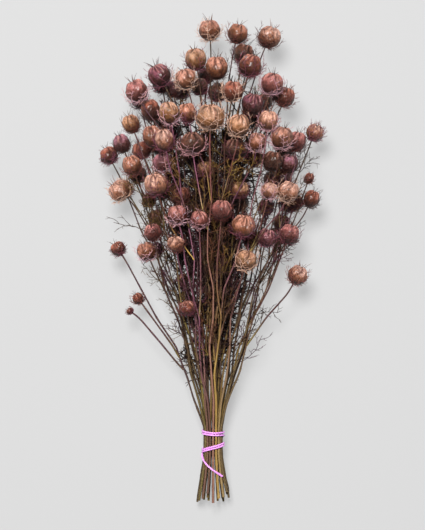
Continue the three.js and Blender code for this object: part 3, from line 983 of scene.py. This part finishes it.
def through(points, count):
    """A smooth curve through points, as count even points, and how far along they are."""
    fine = np.linspace(0, len(points) - 1, count * 4)
    step = np.minimum(fine.astype(int), len(points) - 2)
    t = (fine - step)[:, None]
    padded = np.vstack([2 * points[0] - points[1], points, 2 * points[-1] - points[-2]])
    p0, p1, p2, p3 = (padded[step + k] for k in range(4))
    curve = 0.5 * (
        2 * p1 + (p2 - p0) * t + (2 * p0 - 5 * p1 + 4 * p2 - p3) * t**2 + (3 * p1 - p0 - 3 * p2 + p3) * t**3
    )
    return evenly_spaced(curve, count)[:2]


def band_skin(shape, node, settings):
    """The elastic strand, thinner where it is pulled round and thicker at its loose end."""
    path, along = through(band_path(node), BAND_STEPS)
    share = np.linspace(0, 1, BAND_STEPS)
    low_end = share if path[0][1] < path[-1][1] else share[::-1]
    radii = settings.strand * (1.0 + 0.35 * np.exp(-low_end / 0.04) + 0.06 * np.sin(share * 90))
    points = tubes(path[None], radii[None], BAND_SIDES)
    shape.add_tubes(points, BAND_STEPS, BAND_SIDES, place=tube_place(BAND_SIDES, along / MM))


# ---- Settings, operators and panel ----


def tint(name, description, code):
    return FloatVectorProperty(
        name=name, description=description, subtype="COLOR", size=3, min=0, max=1, default=colour(code)
    )


def measure(name, description, size):
    return decimal(name, description, size, unit="LENGTH", precision=5)


def decimal(name, description, default, lowest=0, **kind):
    return FloatProperty(name=name, description=description, default=default, min=lowest, **kind)


def whole(name, description, default, lowest, highest):
    return IntProperty(name=name, description=description, default=default, min=lowest, max=highest)


class PodSettings(bpy.types.PropertyGroup):
    seams: whole("Seams", "Chambers of a pod, each with a horn", 5, 3, 10)
    seam_depth: decimal("Seam depth", "As a share of the radius", 0.03)
    fold_depth: decimal("Fold depth", "As a share of the radius", 0.27)
    horn_reach: decimal("Horn reach", "Scales the horns' length", 1.0)
    # The crease tint paints shade into the creases, furrows and lower body, and darkens the seams and net
    # lines; the crest tint paints highlights on the crests.
    shade_and_seam_tint: tint("Crease tint", "Darkens the creases and seams", "#4A221C")
    crest_highlight_tint: tint("Crest tint", "Lightens the crests of the folds", "#E0A898")
    dry_tint: tint("Dry tint", "Lightens the dry patches of the skin", "#E8C8B4")


class ThreadSettings(bpy.types.PropertyGroup):
    bracts: whole("Bracts", "Bract ribs round each pod", 8, 0, 12)
    bract_reach: decimal("Bract reach", "Scales how far up they reach", 1.0)
    leaf_spacing: measure("Leaf spacing", "Stem between two leaves", 0.023)
    # The core's leaves grow denser and thicker than the others, a near-black mass that paints the core's
    # shade.
    deep_spacing: measure("Deep leaf spacing", "The same on the stalks of the core", 0.0028)
    deep_girth: decimal("Deep leaf girth", "Scales the core's leaves", 1.75)
    leaf_length: measure("Leaf length", "Length of a leaf's rib", 0.036)


class StemSettings(bpy.types.PropertyGroup):
    stem_sides: whole("Sides", "Twice the number of ribs", 10, 6, 20)
    rib_depth: decimal("Rib depth", "As a share of the radius", 0.16)
    girth: decimal("Girth", "Scales the stems' thickness", 1.08, lowest=0.5)


class BandSettings(bpy.types.PropertyGroup):
    strand: measure("Strand radius", "Radius of the stretched elastic", 0.00095)
    elastic_tint: tint("Tint", "Colour of the elastic", "#E092E4")
    pale_tint: tint("Pale tint", "Where it is stretched", "#F8C8F6")
    deep_tint: tint("Deep tint", "Where it is worn", "#C258C8")


class StageSettings(bpy.types.PropertyGroup):
    floor_tint: tint("Floor", "Colour of the table", "#696969")
    floor_glow: decimal("Floor glow", "Light that the table gives", 3.2)
    floor_size: measure("Floor size", "Width of the table", 6.0)
    key_power: decimal("Key light", "Power of the main light", 182, unit="POWER")
    fill_power: decimal("Fill light", "Power of the wide overhead light", 8, unit="POWER")
    sky: decimal("Sky", "Strength of the even light from above", 0.04)
    walls: decimal("Walls", "Strength of the light from the sides", 0.45)
    camera_height: measure("Camera height", "Height over the table", 3.0)
    view_length: measure("View length", "How long a stretch the camera takes in", 0.583)


def seeded(number):
    return random.Random(7919 * number + 13)


class NIGELLA_OT_pods(bpy.types.Operator):
    """Builds the seed pods of every stalk"""

    bl_idname = "nigella.pods"
    bl_label = "Seed pods"

    def execute(self, context):
        settings = context.scene.nigella_pods
        material = pod_material(settings)
        for stalk in STALKS:
            shape = Shape()
            for pod in stalk.pods:
                pod_skin(shape, pod, seeded(pod.number), settings)
            shape.build_part(stalk, "pods", material)
        return {"FINISHED"}


class NIGELLA_OT_stems(bpy.types.Operator):
    """Builds the ribbed stems of every stalk"""

    bl_idname = "nigella.stems"
    bl_label = "Stems"

    def execute(self, context):
        material = stem_material()
        for number, stalk in enumerate(STALKS):
            shape = Shape()
            draw = np.random.RandomState(400 + number)
            for run in stalk.runs:
                stem_skin(shape, run, draw, context.scene.nigella_stems)
            shape.build_part(stalk, "stems", material)
        return {"FINISHED"}


class NIGELLA_OT_threads(bpy.types.Operator):
    """Builds the horns, bracts and leaves of every stalk"""

    bl_idname = "nigella.threads"
    bl_label = "Horns, bracts and leaves"

    def execute(self, context):
        material = thread_material()
        for stalk in STALKS:
            shape = Shape()
            is_deep = np.mean([pod.base[2] for pod in stalk.pods]) < DEEP
            for run in stalk.runs:
                self.pod_threads(shape, run.pod, context.scene)
                self.leaf_threads(shape, run, is_deep, context.scene.nigella_threads)
            shape.build_part(stalk, "threads", material)
        return {"FINISHED"}

    def pod_threads(self, shape, pod, scene):
        draw = seeded(pod.number + 1000)
        # Pale bracts only on the top pods: partly their own colour, partly painted light.
        is_lit_pale = draw.random() < PALE_SHARE and pod.base[2] > LIT_PALE_ABOVE
        paths, radii = horns(pod, draw, scene.nigella_pods)
        dark = varied(np.array(FINISHES[pod.finish][0]) * 0.5, draw, 0.2)
        add_threads(shape, paths, radii, 5, np.tile(dark, (len(paths), 1)))
        tone = np.array(draw.choice(PALE_BRACT_TONES if is_lit_pale else BRACT_TONES))
        for paths, radii in bracts(pod, pod.number + 77, scene.nigella_threads):
            each = np.array([varied(tone, draw, 0.25) for _ in paths])
            add_threads(shape, paths, radii, 4, each)

    def leaf_threads(self, shape, run, is_deep, settings):
        draw = np.random.RandomState(run.pod.number + 500)
        # The core's leaves take near-black colours as painted shade.
        tone = a_tone(CORE_PAINTED_SHADE_TONES if is_deep else LEAF_TONES, draw)
        spacing = settings.deep_spacing if is_deep else settings.leaf_spacing
        girth = settings.deep_girth if is_deep else 1.0
        for paths, thick, thin in leaves(run, spacing, girth, is_deep, draw, settings):
            shade = draw.uniform(0.7, 1.25, (len(paths), 1)) * (1 if is_deep else painted_light_and_shade(run))
            add_threads(shape, paths, tapered(paths, thick, thin), 3, tone * shade)


class NIGELLA_OT_band(bpy.types.Operator):
    """Builds the elastic band round the neck"""

    bl_idname = "nigella.band"
    bl_label = "Elastic band"

    def execute(self, context):
        settings = context.scene.nigella_band
        shape = Shape()
        band_skin(shape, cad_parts[BAND_NODE], settings)
        shape.build("elastic_band", band_material(settings), BAND_NODE)
        return {"FINISHED"}


class NIGELLA_OT_stage(bpy.types.Operator):
    """Sets the table, the lights and the camera that looks down on the bunch"""

    bl_idname = "nigella.stage"
    bl_label = "Table, lights and camera"

    def execute(self, context):
        settings = context.scene.nigella_stage
        self.floor(settings)
        self.lights(settings)
        self.sky(settings)
        self.camera(context.scene, settings)
        context.scene.view_settings.view_transform = "Standard"
        return {"FINISHED"}

    def floor(self, settings):
        half = settings.floor_size / 2
        mesh = bpy.data.meshes.new("table")
        corners = [(x * half, y * half, 0) for x, y in ((-1, -1), (1, -1), (1, 1), (-1, 1))]
        mesh.from_pydata(corners, [], [(0, 1, 2, 3)])
        mesh.materials.append(floor_material(settings))
        new_object("table", mesh)

    def lights(self, settings):
        """The key shines steeply down the crowns, and a wide fill hangs right over the bunch."""
        self.softbox("key", KEY_PLACE, KEY_SIZE, settings.key_power)
        self.softbox("overhead", OVERHEAD_PLACE, OVERHEAD_SIZE, settings.fill_power)

    def softbox(self, name, place, size, power):
        light = bpy.data.lights.new(name, "AREA")
        light.size = size
        light.energy = power
        lamp = new_object(name, light)
        lamp.location = place
        x, y, z = place
        lamp.rotation_euler = (math.atan2(math.hypot(x, y), z), 0, math.atan2(x, -y))

    def sky(self, settings):
        """Even light all round: pale walls near the horizon, and a dim ceiling."""
        world = bpy.data.worlds.new("studio")
        world.use_nodes = True
        nodes, links = world.node_tree.nodes, world.node_tree.links
        place = nodes.new("ShaderNodeTexCoord")
        height = nodes.new("ShaderNodeSeparateXYZ")
        fade = nodes.new("ShaderNodeMapRange")
        fade.interpolation_type = "SMOOTHSTEP"
        limits = (WALLS_UP_TO, CEILING_FROM, settings.walls, settings.sky)
        for name, value in zip(("From Min", "From Max", "To Min", "To Max"), limits):
            fade.inputs[name].default_value = value
        links.new(place.outputs["Generated"], height.inputs["Vector"])
        links.new(height.outputs["Z"], fade.inputs["Value"])
        nodes["Background"].inputs["Color"].default_value = (1, 1, 1, 1)
        links.new(fade.outputs["Result"], nodes["Background"].inputs["Strength"])
        bpy.context.scene.world = world

    def camera(self, scene, settings):
        x, y, z = ((low + high) / 2 for low, high in zip(*CAD_BOX))
        data = bpy.data.cameras.new("camera")
        data.lens = data.sensor_width * (settings.camera_height - z) / settings.view_length
        data.clip_end = 20
        camera = new_object("camera", data)
        camera.location = (x + AIM[0], y + AIM[1], settings.camera_height)
        scene.camera = camera


class NIGELLA_PT_panel(bpy.types.Panel):
    """Lists the bunch's pieces and their settings"""

    bl_idname = "NIGELLA_PT_panel"
    bl_label = "Dried nigella"
    bl_space_type = "VIEW_3D"
    bl_region_type = "UI"
    bl_category = "Nigella"

    def draw(self, context):
        for operator, group, name in STEPS:
            column = self.layout.column(align=True)
            column.operator(operator.bl_idname)
            for setting in group.__annotations__:
                column.prop(getattr(context.scene, name), setting)


STEPS = [
    (NIGELLA_OT_stage, StageSettings, "nigella_stage"),
    (NIGELLA_OT_stems, StemSettings, "nigella_stems"),
    (NIGELLA_OT_pods, PodSettings, "nigella_pods"),
    (NIGELLA_OT_threads, ThreadSettings, "nigella_threads"),
    (NIGELLA_OT_band, BandSettings, "nigella_band"),
]


def register():
    for operator, group, name in STEPS:
        bpy.utils.register_class(group)
        setattr(bpy.types.Scene, name, PointerProperty(type=group))
        bpy.utils.register_class(operator)
    bpy.utils.register_class(NIGELLA_PT_panel)


def unregister():
    bpy.utils.unregister_class(NIGELLA_PT_panel)
    for operator, group, name in reversed(STEPS):
        bpy.utils.unregister_class(operator)
        delattr(bpy.types.Scene, name)
        bpy.utils.unregister_class(group)


def main():
    register()
    bpy.ops.nigella.stage()
    bpy.ops.nigella.stems()
    bpy.ops.nigella.pods()
    bpy.ops.nigella.threads()
    bpy.ops.nigella.band()


if __name__ == "__main__":
    main()
